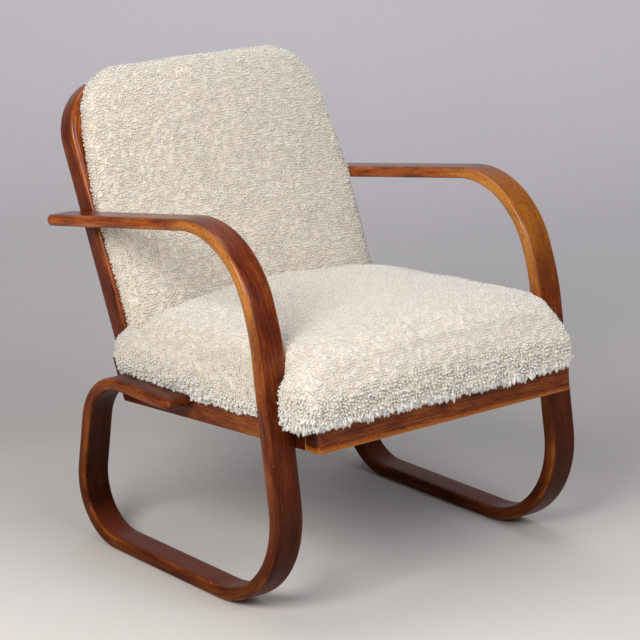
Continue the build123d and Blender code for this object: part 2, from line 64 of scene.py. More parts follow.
strip_radii = [159 * MM, 380 * MM, 157 * MM, 101 * MM, 100 * MM]
strip_thicknesses = [18.5 * MM, 20 * MM, 24 * MM, 21 * MM, 20 * MM, 19 * MM]
strip_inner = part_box("side_frame_left")[0].x
bend_pitch = 9 * MM
left_bend = (262 * MM, -180 * MM, 525 * MM)
back_rake = radians(24.7)
back_foot_ahead = -171.7 * MM
lower_rail_top = 60 * MM
to_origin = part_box("back_lower_rail")[1].y + back_foot_ahead - lower_rail_top * sin(back_rake)
knee = (
    shoulder[0] + upper_leg_run * sin(upper_leg_lean),
    shoulder[1] - upper_leg_run * cos(upper_leg_lean),
)
strip_corners = [
    (arm_tip_ahead, shoulder[1] - (shoulder[0] - arm_tip_ahead) * tan(arm_slope)),
    shoulder,
    knee,
    (knee[0] + knee[1] * tan(lower_leg_lean), 0.0),
    (heel_ahead, 0.0),
    (heel_ahead + stub_top * tan(rear_upright_lean), stub_top),
    (stub_tip_ahead, stub_top),
]


def linear(hex_colour):
    """Linear RGBA of an sRGB hex colour."""
    parts = [int(hex_colour[i:i + 2], 16) / 255 for i in (1, 3, 5)]
    return [c / 12.92 if c <= 0.04045 else ((c + 0.055) / 1.055) ** 2.4 for c in parts] + [1.0]


def fill(node, values):
    """Fills a node's inputs, by name or by order among those in use.

    A value is another node's output, which is linked, or a hex colour or a plain value, which is set.
    """
    in_use = [socket for socket in node.inputs if socket.enabled]
    for key, value in values.items():
        socket = in_use[key] if isinstance(key, int) else node.inputs[key]
        if isinstance(value, bpy.types.NodeSocket):
            node.id_data.links.new(value, socket)
        elif isinstance(value, str) and value.startswith("#"):
            socket.default_value = linear(value)
        elif value is not None:
            socket.default_value = value


def add(tree, kind, *values, named=None, stops=(), out=None, **settings):
    """Adds a node and gives one of its outputs: out, or the first in use.

    A kind without Node in it is a shader node, a kind may name its operation after a dot, and Mix mixes
    colours. Values fill the inputs in order and named ones by name, stops are those of a colour ramp, and
    settings are the node's own properties.
    """
    kind, _, operation = kind.partition(".")
    if operation:
        settings["operation"] = operation
    if kind == "Mix":
        settings["data_type"] = "RGBA"
    node = tree.nodes.new(kind if "Node" in kind else f"ShaderNode{kind}")
    for key, value in settings.items():
        setattr(node, key, value)
    fill(node, {**dict(enumerate(values)), **(named or {})})
    if stops:
        while len(node.color_ramp.elements) < len(stops):
            node.color_ramp.elements.new(0.5)
        for element, (at, colour) in zip(node.color_ramp.elements, stops):
            element.position = at
            element.color = linear(colour)
    return node.outputs[out] if out else next(socket for socket in node.outputs if socket.enabled)


def new_material(name):
    """A material with its node tree, its Principled shader and its Object coordinates."""
    material = bpy.data.materials.new(name)
    material.use_nodes = True
    tree = material.node_tree
    place = add(tree, "TexCoord", out="Object")
    return material, tree, tree.nodes["Principled BSDF"], place


def new_piece(name, mesh):
    """Object of a mesh, put in the scene."""
    piece = bpy.data.objects.new(name, mesh)
    bpy.context.collection.objects.link(piece)
    return piece


def store(mesh, label, values):
    """Keeps a value for each point of a mesh."""
    mesh.attributes.new(label, "FLOAT", "POINT").data.foreach_set("value", np.asarray(values, np.float32))


def face_outwards(mesh):
    """Turns the faces of a closed mesh outwards."""
    bm = bmesh.new()
    bm.from_mesh(mesh)
    bmesh.ops.recalc_face_normals(bm, faces=bm.faces)
    bm.to_mesh(mesh)
    bm.free()


def ring_mesh(name, vertices, count):
    """Closed mesh of rings of points, count in each, joined one to the next and capped at both ends."""
    rings = len(vertices) // count
    faces = []
    for r in range(rings - 1):
        for k in range(count):
            a, b = r * count + k, r * count + (k + 1) % count
            faces.append((a, b, b + count, a + count))
    faces.append(tuple(reversed(range(count))))
    faces.append(tuple(range((rings - 1) * count, rings * count)))
    mesh = bpy.data.meshes.new(name)
    mesh.from_pydata(vertices, [], faces)
    mesh.shade_smooth()
    return mesh


def bent_line(corners, radii, pitch):
    """Points, directions and run shares along a line of straight runs with round corners."""
    points = [np.array(c, float) for c in corners]
    runs = [(b - a) / np.linalg.norm(b - a) for a, b in zip(points, points[1:])]
    rows = []
    start = points[0]
    for i, run in enumerate(runs):
        last = i == len(runs) - 1
        if last:
            end = points[-1]
        else:
            nxt = runs[i + 1]
            turn = np.arctan2(run[0] * nxt[1] - run[1] * nxt[0], run @ nxt)
            reach = radii[i] * tan(abs(turn) / 2)
            end = points[i + 1] - run * reach
        steps = max(2, int(np.linalg.norm(end - start) / pitch))
        for k in range(steps):
            rows.append((start + (end - start) * k / steps, run, float(i)))
        if last:
            rows.append((end, run, float(i)))
            break
        side = np.array([-run[1], run[0]]) * np.sign(turn)
        centre = end + side * radii[i]
        steps = max(4, int(radii[i] * abs(turn) / pitch * 1.5))
        for k in range(steps):
            angle = turn * k / steps
            spin = np.array([[cos(angle), -sin(angle)], [sin(angle), cos(angle)]])
            rows.append((centre - spin @ side * radii[i], spin @ run, i + k / steps))
        start = points[i + 1] + nxt * reach
    return rows


def bar_section(width, thickness, edge, corner_steps=4, flat_steps=4):
    """Rounded rectangle as (across, inward) points, with how rounded and how much a flank each one is."""
    corners = [(edge, edge, 180), (width - edge, edge, 270), (width - edge, thickness - edge, 0),
               (edge, thickness - edge, 90)]
    points = []
    rounding = []
    flank = []
    for n, (x, y, turn) in enumerate(corners):
        for k in range(corner_steps + 1):
            angle = radians(turn + 90 * k / corner_steps)
            points.append((x + edge * cos(angle), y + edge * sin(angle)))
            share = k / corner_steps
            rounding.append(sin(pi * share) ** 2)
            flank.append(1 - share if n % 2 == 0 else share)
        following = corners[(n + 1) % 4]
        turn = radians(following[2])
        there = (following[0] + edge * cos(turn), following[1] + edge * sin(turn))
        here = points[-1]
        for k in range(1, flat_steps):
            share = k / flat_steps
            points.append((here[0] + (there[0] - here[0]) * share, here[1] + (there[1] - here[1]) * share))
            rounding.append(0.0)
            flank.append(float(n % 2 == 1))
    return np.array(points), np.array(rounding), np.array(flank)


def bent_bar(name, rows, thickness_at, width, edge, place, rounded_ends):
    """Bar swept along a bent line, with its grain, flanks and edge roundings, where wear and a painted
    highlight go, kept for its finish.
    """
    points = [row[0] for row in rows]
    lengths = [0.0] + list(np.cumsum([np.linalg.norm(b - a) for a, b in zip(points, points[1:])]))
    tips = [sin(radians(a)) for a in (8, 25, 42, 58, 74)] if rounded_ends else []
    samples = []
    first, last = rows[0], rows[-1]
    for share in tips:
        reach = thickness_at(first[2]) / 2 * (1 - cos(np.arcsin(share)))
        samples.append((first[0] + first[1] * reach, first[1], first[2], reach, share))
    for row, length in zip(rows, lengths):
        from_end = min(length, lengths[-1] - length)
        if not rounded_ends or from_end > thickness_at(row[2]) / 2:
            samples.append((row[0], row[1], row[2], length, 1.0))
    for share in reversed(tips):
        reach = thickness_at(last[2]) / 2 * (1 - cos(np.arcsin(share)))
        samples.append((last[0] - last[1] * reach, last[1], last[2], lengths[-1] - reach, share))
    full, rounding, flank = bar_section(width, thickness_at(rows[len(rows) // 2][2]), edge)
    count = len(full)
    vertices = []
    for point, run, part, length, share in samples:
        thickness = thickness_at(part)
        inset = thickness / 2 * (1 - share)
        narrow = edge * (1 - share)
        largest_edge = (thickness - 2 * inset) * 0.46
        section = bar_section(width - 2 * narrow, thickness - 2 * inset, min(edge, largest_edge))[0]
        inward = np.array([run[1], -run[0]])
        vertices += [place(point + inward * (p[1] + inset), p[0] + narrow) for p in section]
    mesh = ring_mesh(name, vertices, count)
    # The middle of each edge rounding carries a pale line, partly wear and partly a painted highlight.
    store(mesh, "worn_edge", np.tile(rounding, len(samples)))
    store(mesh, "flank", np.tile(flank, len(samples)))
    loop_points = np.zeros(len(mesh.loops), int)
    mesh.loops.foreach_get("vertex_index", loop_points)
    girth = np.linalg.norm(full - np.roll(full, 1, axis=0), axis=1)
    around = np.cumsum(girth) - girth[0]
    grain = np.zeros((len(mesh.loops), 2), np.float32)
    grain[:, 0] = np.array([sample[3] for sample in samples])[loop_points // count]
    grain[:, 1] = around[loop_points % count]
    quads = grain[:4 * count * (len(samples) - 1)].reshape(-1, count, 4, 2)
    quads[:, -1, 1:3, 1] = around[-1] + girth[0]
    mesh.uv_layers.new(name="grain").data.foreach_set("uv", grain.ravel())
    face_outwards(mesh)
    return new_piece(name, mesh)


def grain_noise(tree, where, length, width, detail, roughness, distortion=0.0):
    """Noise drawn out along the grain: the size of its grains in metres along and across."""
    scaled = add(tree, "Mapping", where, named={"Scale": (1 / length, 1 / width, 1 / width)})
    return add(tree, "TexNoise", scaled, named={
        "Scale": 1.0, "Detail": detail, "Roughness": roughness, "Distortion": distortion})


def stained_beech(name, along=None, lit_share=None, worn_below=None, worn_bend=None, joint=None,
                  leg_shadow_past=None):
    """Beech stained red-brown under lacquer: streaks and dark pores along the grain, edges pale from wear
    and a painted highlight.

    The narrow sides took less stain and are orange. The grain follows the piece's own map, or one axis of
    the object where along names it, and lit_share then says how orange the whole piece is.
    The rest is wear and painted shade in places: worn_below is a height, worn_bend the middle of a bend with
    wear, joint the half width, direction and level of a dowelled corner, and the last a direction and the
    level past which the front leg's shadow is painted.
    """
    material, tree, shader, place = new_material(name)
    split = add(tree, "SeparateXYZ", place).node.outputs
    height = split["Z"]
    aside = add(tree, "Math.ABSOLUTE", split["X"])
    if along is None:
        where = add(tree, "UVMap", uv_map="grain")
        lit = add(tree, "Attribute", out="Fac", attribute_name="flank")
    else:
        across = [axis for axis in "XYZ" if axis != along]
        where = add(tree, "CombineXYZ", split[along], split[across[0]], split[across[1]])
        lit = lit_share
    streaks = grain_noise(tree, where, 60 * MM, 2.6 * MM, 4.0, 0.6, 0.4)
    drift = grain_noise(tree, where, 80 * MM, 22 * MM, 3.0, 0.55)
    pores = grain_noise(tree, where, 9 * MM, 1.4 * MM, 2.0, 0.6)
    chips = grain_noise(tree, where, 6 * MM, 3 * MM, 3.0, 0.6)
    tone = add(tree, "MapRange", add(tree, "Math", streaks, drift), 0.74, 1.26)
    wide = add(tree, "ValToRGB", tone, stops=[
        (0.0, "#4a1807"), (0.4, "#65260c"), (0.7, "#7a3410"), (1.0, "#954b1b")])
    narrow = add(tree, "ValToRGB", tone, stops=[
        (0.0, "#531f07"), (0.4, "#8f400e"), (0.7, "#ab5715"), (1.0, "#c67827")])

    def tinted(base, colour, share, *more_shares):
        """A colour laid over another by the product of the shares."""
        for other in more_shares:
            share = add(tree, "Math.MULTIPLY", share, other)
        return add(tree, "Mix", share, base, colour)

    if worn_bend is not None:
        from_bend = add(tree, "VectorMath.DISTANCE", place, worn_bend)
        close = add(tree, "MapRange", from_bend, 150 * MM, 50 * MM, 0.0, 1.3)
        wide = tinted(wide, "#a8661d", close, drift)
        either_side = add(tree, "CombineXYZ", aside, split["Y"], height)
        from_bend = add(tree, "VectorMath.DISTANCE", either_side, worn_bend)
        close = add(tree, "MapRange", from_bend, 180 * MM, 70 * MM, 0.0, 1.2)
        narrow = tinted(narrow, "#cf9040", close, drift)
    stained = add(tree, "Mix", lit, wide, narrow)
    # Painted shadow of the front leg: the piece is darkened past a level along a direction.
    if leg_shadow_past is not None:
        direction, level = leg_shadow_past
        ahead = add(tree, "VectorMath.DOT_PRODUCT", place, direction)
        stained = tinted(stained, "#471809", add(tree, "MapRange", ahead, level, level + 12 * MM, 0.0, 0.85))
    if joint is not None:
        half, direction, level = joint
        end = add(tree, "MapRange", aside, half - 0.8 * MM, half - 0.3 * MM)
        stained = tinted(stained, "#471809", end, 0.85)
    # Painted shade: the wood is darkened towards the floor.
    shade_towards_floor = add(tree, "MapRange", height, 520 * MM, 80 * MM, 0.0, 0.75)
    stained = tinted(stained, "#321107", shade_towards_floor)
    if along is None:
        # Painted shade: the wide faces are darkened below the seat, more towards the rear.
        flat = add(tree, "MapRange", lit, 0.6, 0.2)
        low = add(tree, "MapRange", height, 360 * MM, 160 * MM)
        rearward = add(tree, "MapRange", split["Y"], 0.0, 120 * MM, 0.3, 0.65)
        stained = tinted(stained, "#1c0a06", low, rearward, flat)
        # Painted light: the wide faces next to the floor, the tops of the runners, are turned lighter and
        # warmer.
        light_near_floor = add(tree, "MapRange", height, 60 * MM, 22 * MM, 0.0, 0.8)
        stained = tinted(stained, "#70341f", light_near_floor, flat)
    flecked = tinted(stained, "#2a0f07", add(tree, "MapRange", pores, 0.56, 0.64, 0.0, 0.7))
    # Pale line along the edge roundings: partly wear, partly a painted highlight where the lamps would
    # glint.
    edge = add(tree, "Attribute", out="Fac", attribute_name="worn_edge")
    patchy = add(tree, "MapRange", drift, 0.42, 0.62, 0.0, 0.4)
    rubbed_and_highlit = add(tree, "Math.MULTIPLY", edge, patchy)
    if worn_below is not None:
        uneven = add(tree, "Math", height, add(tree, "Math.MULTIPLY", chips, 9 * MM))
        low = add(tree, "MapRange", uneven, worn_below, worn_below - 9 * MM, 0.0, 0.85)
        rubbed_and_highlit = add(tree, "Math.MAXIMUM", rubbed_and_highlit, low)
    worn_and_highlit = tinted(flecked, "#b9691f", rubbed_and_highlit)
    bare = tinted(worn_and_highlit, "#d9b58a", edge, add(tree, "MapRange", chips, 0.66, 0.70, 0.0, 0.9))
    if joint is not None:
        reach = add(tree, "VectorMath.DOT_PRODUCT", place, direction)
        seam = add(tree, "MapRange", reach, level + 1.6 * MM, level + 0.8 * MM, 0.0, 0.8)
        bare = tinted(bare, "#c9a074", end, seam)
    fill(shader, {
        "Base Color": bare,
        "Roughness": add(tree, "MapRange", streaks, 0.3, 0.7, 0.28, 0.42),
        "Normal": add(tree, "Bump", named={"Height": pores, "Strength": 0.15, "Distance": 0.3 * MM}),
        "Coat Weight": add(tree, "MapRange", height, 500 * MM, 100 * MM, 0.3, 0.03),
        "Coat Roughness": 0.16,
        "Specular IOR Level": add(tree, "MapRange", height, 500 * MM, 100 * MM, 0.2, 0.06),
    })
    return material


def strip_thickness(part):
    """Thickness of the ribbon, eased through each bend from one run to the next."""
    run = int(part)
    if run >= len(strip_thicknesses) - 1:
        return strip_thicknesses[-1]
    share = part - run
    return strip_thicknesses[run] * (1 - share) + strip_thicknesses[run + 1] * share


ribbon_beech = stained_beech("stained_lacquered_beech_ribbon", worn_bend=left_bend)
strip_line = bent_line(strip_corners, strip_radii, bend_pitch)
for side, sign in (("right", -1), ("left", 1)):
    def on_side(point, across):
        """Place of a point of the ribbon on this side of the chair."""
        return (sign * (strip_inner + across), -point[0] + to_origin, point[1])

    ribbon = bent_bar(f"ribbon_{side}", strip_line, strip_thickness, strip_width, strip_edge, on_side, True)
    ribbon.data.materials.append(ribbon_beech)
    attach(ribbon, "root")
    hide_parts(f"side_frame_{side}")

# Seat frame: four beech rails, dowelled and glued at the corners, with blocks screwed into each corner.
# The front and side rails show, so they are stained and lacquered like the ribbons.
seat_tilt = radians(4.4)
seat_underside = 241.4 * MM
rail_height = 68 * MM


def places_of(mesh):
    """Vertex places of a mesh as an array."""
    values = np.zeros(len(mesh.vertices) * 3, np.float32)
    mesh.vertices.foreach_get("co", values)
    return values.reshape(-1, 3)


def dress(nodes, material):
    """Gives CAD nodes a material."""
    for node in nodes:
        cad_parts[node].data.materials.clear()
        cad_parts[node].data.materials.append(material)


front_low, front_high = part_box("seat_front_rail")
worn_height = front_low.z + 17 * MM
seat_ahead = np.array([0.0, -cos(seat_tilt), sin(seat_tilt)])
rail_rear = float((places_of(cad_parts["seat_front_rail"].data) @ seat_ahead).min())
front_joint = (front_high.x, tuple(seat_ahead), rail_rear)
# The side rails get a painted shadow of the front leg towards their front ends.
past_leg_front = (tuple(seat_ahead), rail_rear - 45 * MM)
dress(["seat_front_rail"],
      stained_beech("stained_beech_front_rail", "X", 0.85, worn_height, joint=front_joint))
dress(["seat_side_rail_right", "seat_side_rail_left"],
      stained_beech("stained_beech_side_rail", "Y", 0.9, leg_shadow_past=past_leg_front))


def bare_wood(name, along, colour, streak):
    """Planed wood with no finish: pale, dry, with soft streaks along its grain."""
    material, tree, shader, place = new_material(name)
    grain_length, grain_width = 120 * MM, 4 * MM
    scale = [1 / grain_length if axis == along else 1 / grain_width for axis in "XYZ"]
    grain = add(tree, "TexNoise", add(tree, "Mapping", place, named={"Scale": scale}), named={
        "Scale": 1.0, "Detail": 5.0, "Roughness": 0.6, "Distortion": 0.4})
    streaks = add(tree, "MapRange", grain, 0.35, 0.68)
    fill(shader, {
        "Base Color": add(tree, "Mix", streaks, colour, streak),
        "Normal": add(tree, "Bump", named={"Height": grain, "Strength": 0.2, "Distance": 0.4 * MM}),
        "Roughness": 0.72,
    })
    return material


planed_beech = bare_wood("planed_beech", "X", "#b08a5c", "#8f6a40")
turned_beech = bare_wood("turned_beech", "Y", "#c6a271", "#a9824f")
dress(["seat_rear_rail", "corner_blocks", "back_lower_rail"], planed_beech)
dress(["front_rail_dowels", "rear_rail_dowels", "lower_rail_dowels", "stile_dowels"], turned_beech)


def old_steel(name, colour, stain, roughness):
    """Plain steel fastener, dulled by age, with darker stains."""
    material, tree, shader, place = new_material(name)
    stain_size = 3 * MM
    stains = add(tree, "TexNoise", place, named={"Scale": 1 / stain_size, "Detail": 4.0, "Roughness": 0.6})
    stained = add(tree, "MapRange", stains, 0.42, 0.66)
    fill(shader, {
        "Base Color": add(tree, "Mix", stained, colour, stain),
        "Roughness": add(tree, "MapRange", stains, 0.3, 0.7, roughness - 0.1, roughness + 0.15),
        "Metallic": 1.0,
    })
    return material


screw_steel = old_steel("aged_steel_screws", "#8d8a84", "#5c4636", 0.42)
tack_steel = old_steel("blued_steel_tacks", "#3c3d42", "#2a2422", 0.38)
dress(["corner_block_screws", "leg_screws", "stub_screws", "arm_screws"], screw_steel)
dress(["dust_cover_tacks", "rear_cover_tacks"], tack_steel)

# Back hoop: a bar of beech bent into an upside-down U, whose feet stand on the side rails.
# It is stained and lacquered like the ribbons, and its front edge shows as a rim round the fleece.
hoop_half = 255 * MM
hoop_top = 437 * MM
hoop_radius = 100 * MM
hoop_width = 34 * MM
hoop_depth = 40 * MM
hoop_edge = 8 * MM
hoop_start = -8 * MM
back_foot_lift = 13.2 * MM
rail_top_at_back = seat_underside + rail_height / cos(seat_tilt) + back_foot_ahead * tan(seat_tilt)
back_origin = np.array([0.0, -back_foot_ahead + to_origin, rail_top_at_back + back_foot_lift])
back_up = np.array([0.0, sin(back_rake), cos(back_rake)])
back_out = np.array([0.0, -cos(back_rake), sin(back_rake)])
rail_top_normal = np.array([0.0, sin(seat_tilt), cos(seat_tilt)])
rail_top_point = np.array([0.0, to_origin, seat_underside]) + rail_top_normal * rail_height


def on_back(x, up, out):
    """Place of a point given across the back, up along its rake and out from the hoop's rear face."""
    return back_origin + np.array([x, 0.0, 0.0]) + back_up * up + back_out * out


hoop_corners = [
    (-hoop_half, hoop_start),
    (-hoop_half, hoop_top),
    (hoop_half, hoop_top),
    (hoop_half, hoop_start),
]
hoop_line = bent_line(hoop_corners, [hoop_radius, hoop_radius], bend_pitch)
hoop = bent_bar(
    "hoop",
    hoop_line,
    lambda part: hoop_width,
    hoop_depth,
    hoop_edge,
    lambda point, across: on_back(point[0], point[1], across),
    False,
)
for vertex in hoop.data.vertices:
    place = np.array(vertex.co)
    if (place - back_origin) @ back_up < hoop_start + 1 * MM:
        drop = rail_top_normal @ (rail_top_point - place) / (rail_top_normal @ back_up)
        vertex.co = place + back_up * drop
hoop.data.materials.append(stained_beech("stained_lacquered_beech_hoop"))
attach(hoop, "root")
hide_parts("back_hoop")

# Webbing and hessian: jute straps tacked to the frames both ways, with hessian over them.
# They lie hidden between the covers and the fleece, and carry the padding.


def plain_weave(name, colour, shadow, thread):
    """Plain woven cloth: round threads over and under each other, dry and matt."""
    material, tree, shader, place = new_material(name)
    waves = {"Scale": pi / (10 * thread), "Distortion": 0.8, "Detail": 1.0, "Detail Scale": 2.0}
    warp = add(tree, "TexWave", place, named=waves, out="Fac", wave_type="BANDS", bands_direction="X")
    weft = add(tree, "TexWave", place, named=waves, out="Fac", wave_type="BANDS", bands_direction="Z")
    weave = add(tree, "Math.MULTIPLY", warp, weft)
    patch_size = 18 * MM
    wander = add(tree, "TexNoise", place, named={"Scale": 1 / patch_size, "Detail": 4.0, "Roughness": 0.6})
    tone = add(tree, "MapRange", add(tree, "Math", weave, wander), 0.45, 1.2)
    fill(shader, {
        "Base Color": add(tree, "Mix", tone, shadow, colour),
        "Normal": add(tree, "Bump", named={"Height": weave, "Strength": 0.5, "Distance": 0.5 * MM}),
        "Roughness": 0.9,
        "Sheen Weight": 0.15,
    })
    return material


dress([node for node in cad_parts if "webbing" in node],
      plain_weave("woven_jute", "#a98a5c", "#6d5433", 2.4 * MM))
dress([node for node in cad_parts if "hessian" in node],
      plain_weave("open_hessian", "#b2986c", "#776040", 1.8 * MM))

# Covers: plain cotton cloth tacked over the back of the hoop and under the seat frame.
# Each lies flat on the wood it is tacked to and is a little slack in the opening between.
cloth_margin = 8 * MM
cloth_lift = 0.3 * MM
cloth_cells = 56
cover_sag = 5 * MM
rear_cover_foot = 18 * MM
seat_cover_rear = -120 * MM
seat_cover_front = 335 * MM


def tree_of(nodes):
    """Search tree of the named CAD nodes, for finding what lies close."""
    vertices = []
    faces = []
    for node in nodes:
        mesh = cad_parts[node].data
        start = len(vertices)
        vertices += [v.co.copy() for v in mesh.vertices]
        faces += [[start + i for i in p.vertices] for p in mesh.polygons]
    return BVHTree.FromPolygons(vertices, faces)


def tacked_cloth(name, outline, place, sag, wood, material):
    """Cloth held round its edge: outline gives its place up and half width at a share of its length.

    It lies flat where wood is behind it, and sags like a stretched skin in the opening between.
    """
    cells = cloth_cells
    wood_search = 8 * MM
    outward = place(0.0, 0.0, 1.0) - place(0.0, 0.0, 0.0)
    spots = []
    on_wood = np.ones((cells + 1, cells + 1), bool)
    for r in range(cells + 1):
        up, half = outline(r / cells)
        for c in range(cells + 1):
            across = half * (2 * c / cells - 1)
            spots.append((across, up))
            start = Vector(place(across, up, MM))
            on_wood[r, c] = wood.ray_cast(start, Vector(-outward), wood_search)[0] is not None
    on_wood[[0, -1]] = True
    on_wood[:, [0, -1]] = True
    slack = np.zeros((cells + 1, cells + 1))
    for _ in range(900):
        mean = (slack[:-2, 1:-1] + slack[2:, 1:-1] + slack[1:-1, :-2] + slack[1:-1, 2:]) / 4 + 1
        slack[1:-1, 1:-1] = np.where(on_wood[1:-1, 1:-1], 0.0, mean)
    slack /= slack.max()
    vertices = []
    for (across, up), share in zip(spots, slack.ravel()):
        vertices.append(tuple(place(across, up, cloth_lift + sag * share)))
    faces = []
    for r in range(cells):
        for c in range(cells):
            a = r * (cells + 1) + c
            faces.append((a, a + 1, a + cells + 2, a + cells + 1))
    mesh = bpy.data.meshes.new(name)
    mesh.from_pydata(vertices, [], faces)
    mesh.shade_smooth()
    mesh.materials.append(material)
    cloth = new_piece(name, mesh)
    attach(cloth, "root")
    return cloth


def cover_outline(share):
    """Height and half width of the rear cover, which follows the inside of the hoop's bend."""
    top = hoop_top - cloth_margin
    half, radius = hoop_half - cloth_margin, hoop_radius - cloth_margin
    up = rear_cover_foot + (top - rear_cover_foot) * (1 - (1 - share) ** 1.6)
    over = max(0.0, up - (top - radius))
    return up, half - radius + (max(radius ** 2 - over ** 2, 0.0)) ** 0.5


def seat_outline(share):
    """Depth and half width of the dust cover under the seat."""
    return seat_cover_rear + (seat_cover_front - seat_cover_rear) * share, hoop_half - cloth_margin


def behind_back(x, up, out):
    """Place of a point given across the back, up along its rake and rearwards from the hoop's rear face."""
    return on_back(x, up, -out)


def under_seat(x, ahead, drop):
    """Place of a point given across the seat, forward along its tilt and down from its underside."""
    return np.array([x, to_origin, seat_underside]) + seat_ahead * ahead - rail_top_normal * drop


# The threads of the two cottons are about 0.8 mm apart; they are drawn at 3 mm so that they show.
cotton = plain_weave("brown_cotton_cover", "#6b5c4e", "#43392f", 3 * MM)
dust_cotton = plain_weave("black_cotton_dust_cover", "#323133", "#1e1d1f", 3 * MM)
back_wood = tree_of(["back_hoop", "back_lower_rail"])
rear_cover = tacked_cloth("rear_cover_cloth", cover_outline, behind_back, -cover_sag, back_wood, cotton)
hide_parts("back_rear_cover")
seat_wood = tree_of([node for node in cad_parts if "seat_" in node and "rail" in node])
dust_cover = tacked_cloth("dust_cover_cloth", seat_outline, under_seat, cover_sag, seat_wood, dust_cotton)
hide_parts("seat_dust_cover")

# Back pad: hair padding over the webbing, covered with cream sheepskin of tight curls, sewn round the hoop.
# The pad swells between its edges, so it starts a little small and is blown up as a closed cloth skin.
# Curls of wool and loose fibres are then planted all over what shows of it.
pad_voxel = 6 * MM
wood_reach = 4 * MM
search_reach = 40 * MM
hoop_lap = 3 * MM
corner_draw = 11 * MM
clump_size = 12 * MM
hard_nodes = [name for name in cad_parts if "fleece" not in name and "padding" not in name]


def evaluated_mesh(piece):
    """Plain mesh of a piece with its modifiers worked out."""
    return bpy.data.meshes.new_from_object(piece.evaluated_get(bpy.context.evaluated_depsgraph_get()))


def largest_part(mesh):
    """Keeps the largest connected part of a mesh."""
    bm = bmesh.new()
    bm.from_mesh(mesh)
    left = set(bm.verts)
    best = []
    while left:
        part = [left.pop()]
        for vertex in part:
            for edge in vertex.link_edges:
                other = edge.other_vert(vertex)
                if other in left:
                    left.remove(other)
                    part.append(other)
        if len(part) > len(best):
            best = part
    keep = set(best)
    bmesh.ops.delete(bm, geom=[v for v in bm.verts if v not in keep], context="VERTS")
    bm.to_mesh(mesh)
    bm.free()
    face_outwards(mesh)


def normals_of(mesh):
    """Vertex normals of a mesh as an array."""
    values = np.zeros(len(mesh.vertices) * 3, np.float32)
    mesh.vertex_normals.foreach_get("vector", values)
    return values.reshape(-1, 3)


def move_to(mesh, places):
    """Moves the vertices of a mesh."""
    mesh.vertices.foreach_set("co", np.asarray(places, np.float32).ravel())
    mesh.update()


def ease(values, start, span):
    """Share of the way that values have gone from start over a span, which may be negative."""
    return np.clip((values - start) / span, 0.0, 1.0)


def blown_pad(name, nodes, hard, pile_height, swell_limit):
    """Closed pad from its CAD solids, sunk by the pile's height and swollen as cloth under pressure."""
    bm = bmesh.new()
    for node in nodes:
        bm.from_mesh(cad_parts[node].data)
    bmesh.ops.remove_doubles(bm, verts=bm.verts, dist=0.01 * MM)
    mesh = bpy.data.meshes.new(name)
    bm.to_mesh(mesh)
    bm.free()
    pad = new_piece(name, mesh)
    remesh = pad.modifiers.new("remesh", "REMESH")
    remesh.mode = "VOXEL"
    remesh.voxel_size = pad_voxel
    smooth = pad.modifiers.new("smooth", "SMOOTH")
    smooth.factor = 0.5
    smooth.iterations = 3
    mesh = evaluated_mesh(pad)
    pad.modifiers.clear()
    largest_part(mesh)
    pad.data = mesh
    places = places_of(mesh)
    normals = normals_of(mesh)
    gap = np.array([(hard.find_nearest(Vector(p), search_reach)[3] or search_reach) for p in places])
    free = ease(gap, 2 * MM, 14 * MM)[:, None]
    rest = places - normals * pile_height * (0.2 + 0.8 * free)
    move_to(mesh, rest)
    cloth = pad.modifiers.new("cloth", "CLOTH")
    for key, value in (("quality", 4), ("mass", 0.2), ("tension_stiffness", 12),
                       ("compression_stiffness", 12), ("bending_stiffness", 2), ("use_pressure", True),
                       ("uniform_pressure_force", 4)):
        setattr(cloth.settings, key, value)
    cloth.settings.effector_weights.gravity = 0
    last_step = 20
    cloth.point_cache.frame_start = 1
    cloth.point_cache.frame_end = last_step
    for step in range(1, last_step + 1):
        bpy.context.scene.frame_set(step)
    moved = places_of(evaluated_mesh(pad)) - rest
    pad.modifiers.clear()
    bpy.context.scene.frame_set(1)
    outward = (moved * normals).sum(axis=1, keepdims=True)
    move_to(mesh, rest + normals * np.clip(outward, 0.0, swell_limit) * free)
    finer = pad.modifiers.new("finer", "SUBSURF")
    finer.levels = 1
    finer.render_levels = 1
    pad.data = evaluated_mesh(pad)
    pad.modifiers.clear()
    pad.data.shade_smooth()
    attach(pad, "root")
    return pad


def set_pile(pad, hard, clump_height, grow):
    """Gives a pad its clumps of wool, and stores how dense, large and which way the curls grow on it.

    The grow function returns the lay, size and loft of the curls, the height of the clumps and the share
    of hanging tufts, each for all places and normals.
    """
    mesh = pad.data
    places = places_of(mesh)
    normals = normals_of(mesh)
    gap = np.full(len(places), search_reach)
    for i, (place, normal) in enumerate(zip(places, normals)):
        hit = hard.ray_cast(Vector(place) + Vector(normal) * 0.5 * MM, Vector(normal), search_reach)
        if hit[0] is not None:
            gap[i] = hit[3]
    pile = (gap > wood_reach).astype(np.float32)
    lay, size, loft, lumps, fringe = grow(places, normals)
    size = size * np.clip(gap / (9 * MM), 0.6, 1.0)
    domes = [1 - min(1.0, noise.voronoi(Vector(p) / clump_size)[0][0] / 0.62) ** 2 for p in places]
    dome = np.array(domes)
    swell = np.array([noise.noise(Vector(p) / (70 * MM)) for p in places])
    push = pile * (lumps * clump_height * (dome - 0.6) + swell * 2.5 * MM)
    move_to(mesh, places + normals * push[:, None])
    # The skin's rise comes from its clumps, so its colour is painted darker in the hollows between them, as
    # shade.
    for label, values in (("pile", pile), ("size", size), ("loft", loft), ("fringe", fringe * pile),
                          ("fuzz", (1 - fringe) * pile), ("rise", 0.55 * dome)):
        store(mesh, label, values)
    layer = mesh.attributes.new("lay", "FLOAT_VECTOR", "POINT")
    layer.data.foreach_set("vector", lay.astype(np.float32).ravel())


